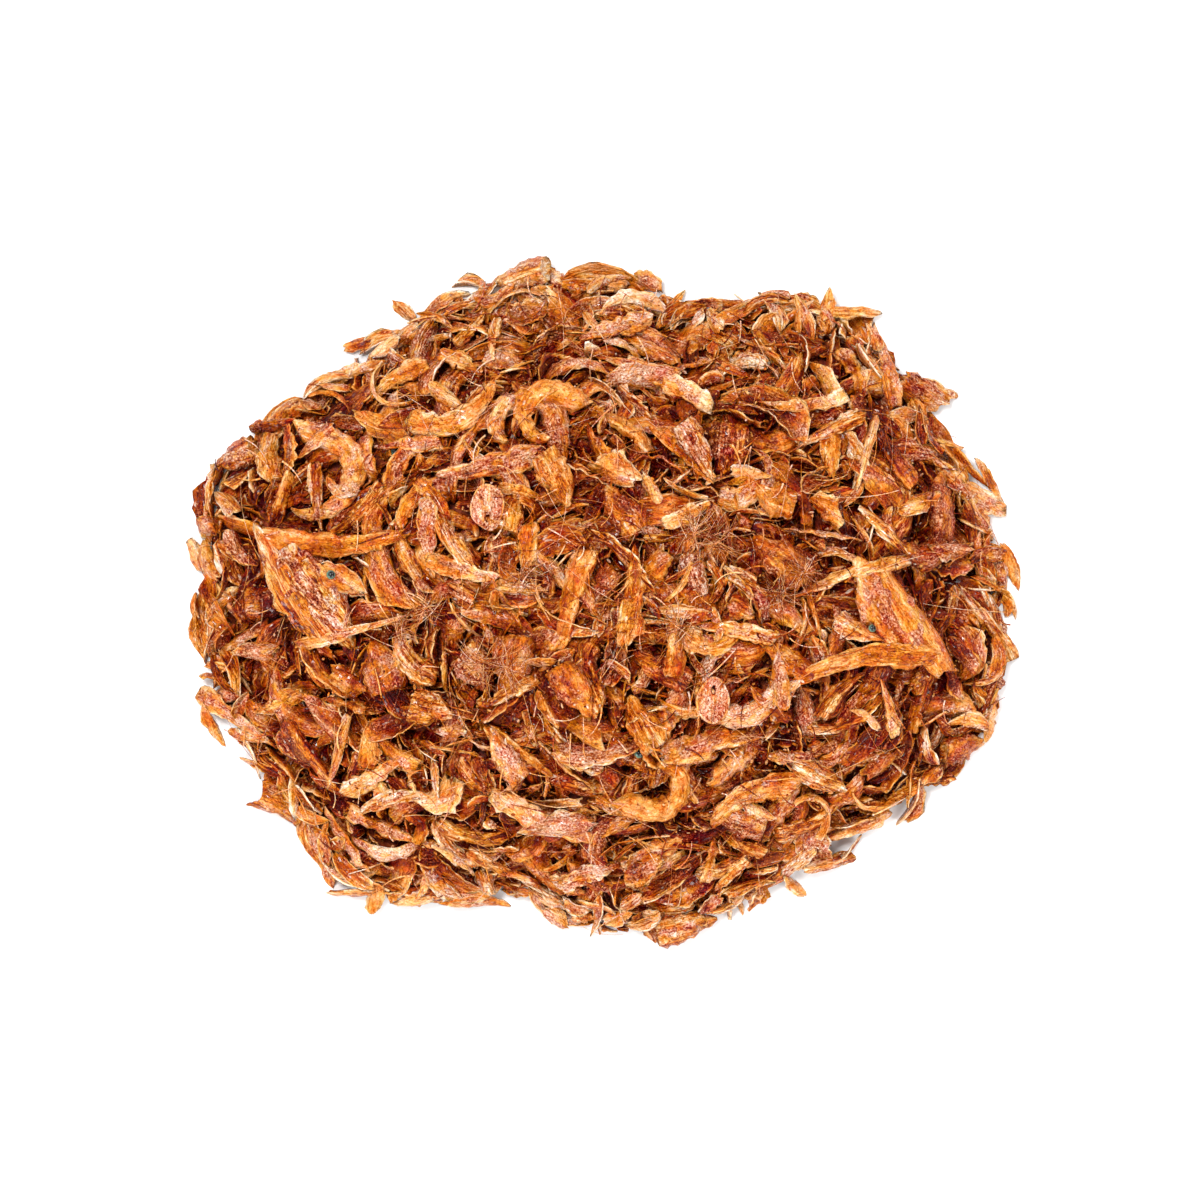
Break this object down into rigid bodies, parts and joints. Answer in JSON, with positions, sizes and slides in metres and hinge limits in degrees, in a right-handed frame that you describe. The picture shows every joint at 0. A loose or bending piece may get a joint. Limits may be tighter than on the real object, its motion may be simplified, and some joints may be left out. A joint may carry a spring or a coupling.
{
  "type": "heap of smoked crayfish",
  "caption": "Loose, low oval heap of small smoked and dried crayfish, whole, curled and broken, with a flat underside to rest on.",
  "frame": {"origin": "middle of the heap's bounding box, on the surface that the heap lies on", "axes": "+X along the heap's longest extent, +Y across it, +Z up; seen from above, +Y is up in the picture"},
  "size_m": [0.1982, 0.1638, 0.0433],
  "materials": {
    "smoked_crayfish": null
  },
  "bodies": {
    "root": {"crayfish_heap": "smoked_crayfish"}
  },
  "joints": []
}
